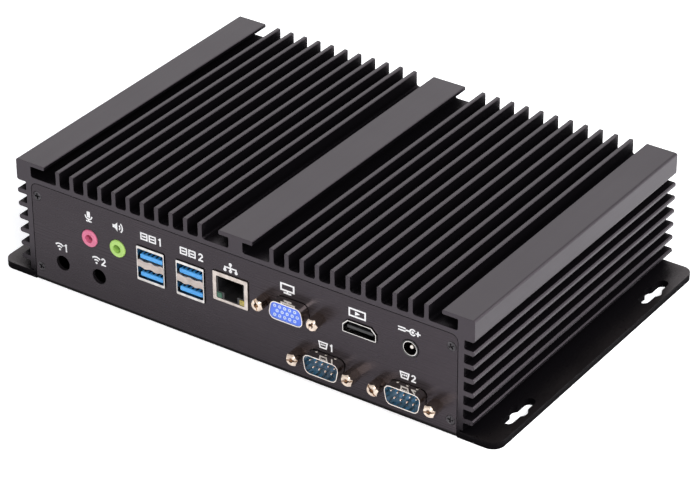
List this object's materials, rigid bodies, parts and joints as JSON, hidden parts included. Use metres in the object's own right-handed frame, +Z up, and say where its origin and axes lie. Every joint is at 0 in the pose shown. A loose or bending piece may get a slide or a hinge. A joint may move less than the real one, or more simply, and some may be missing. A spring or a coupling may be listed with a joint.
{
  "type": "fanless industrial pc",
  "caption": "Flat fanless industrial computer in a finned black aluminium housing, with flanged base plate and a row of sockets on the front panel.",
  "frame": {"origin": "underside of the base plate, at the middle of the housing", "axes": "+X to the right along the port side, +Y from the port side to the rear, +Z up"},
  "size_m": [0.2336, 0.1556, 0.0528],
  "materials": {
    "anodised_black": "black anodised, fine satin",
    "panel_black": "black anodised over a brushed face",
    "plate_black": "black powder coat, satin",
    "screw_black": "black oxide",
    "screw_steel": "zinc plated",
    "nickel": "nickel plated sheet",
    "gold_plated": "gold plated",
    "blue_plastic": "moulded",
    "dark_blue_plastic": "moulded",
    "black_plastic": "moulded",
    "pink_plastic": "moulded",
    "lime_plastic": "moulded",
    "green_light": "clear tinted light pipe",
    "yellow_light": "clear tinted light pipe",
    "circuit_board": "solder mask over glass laminate",
    "chip_black": "moulded package",
    "bare_aluminium": "milled",
    "pad_grey": "soft silicone pad",
    "ribbon_grey": "flexible sheath",
    "button_metal": "turned face"
  },
  "bodies": {
    "chassis": {"finned_housing": "anodised_black", "base_plate": "plate_black", "base_screws": "screw_black", "front_panel": "panel_black", "rear_panel": "panel_black", "panel_screws": "screw_black", "front_data_port_shells": "nickel", "front_data_port_insulators": "blue_plastic", "front_data_port_dividers": "nickel", "front_data_port_contacts": "gold_plated", "rear_data_port_shell": "nickel", "rear_data_port_insulator": "blue_plastic", "rear_data_port_divider": "nickel", "rear_data_port_contacts": "gold_plated", "microphone_jack": "pink_plastic", "speaker_jack": "lime_plastic", "audio_springs": "gold_plated", "lan_shell": "nickel", "lan_insert": "black_plastic", "lan_light_green": "green_light", "lan_light_yellow": "yellow_light", "lan_contacts": "gold_plated", "video_shell": "nickel", "video_insulator": "blue_plastic", "serial_shells": "nickel", "serial_insulators": "dark_blue_plastic", "serial_pins": "gold_plated", "serial_board": "circuit_board", "serial_ribbon": "ribbon_grey", "serial_headers": "black_plastic", "jackscrews": "nickel", "digital_video_shell": "nickel", "digital_video_tongue": "black_plastic", "power_socket_body": "black_plastic", "power_socket_sleeve": "nickel", "power_socket_pin": "nickel", "main_board": "circuit_board", "board_standoffs": "screw_steel", "board_screws": "screw_steel", "processor": "chip_black", "thermal_pad": "pad_grey", "heat_block": "bare_aluminium", "heat_block_screws": "screw_steel", "memory_socket": "black_plastic", "memory_module": "circuit_board", "storage_socket": "black_plastic", "storage_card": "circuit_board", "wireless_socket": "black_plastic", "wireless_card": "circuit_board", "card_spacers": "screw_steel", "coin_cell_holder": "black_plastic", "coin_cell": "screw_steel", "power_inductors": "chip_black", "capacitors": "bare_aluminium", "controller_chips": "chip_black", "button_switch": "black_plastic", "button_guide": "black_plastic", "indicator_lights": "green_light"},
    "button": {"power_button": "button_metal"}
  },
  "joints": [
    {"name": "button_push", "type": "slide", "parent": "chassis", "child": "button", "axis": [0, -1, 0], "range_m": [0, 0.001], "stiffness_N_per_m": 800, "springref_m": -0.002}
  ]
}
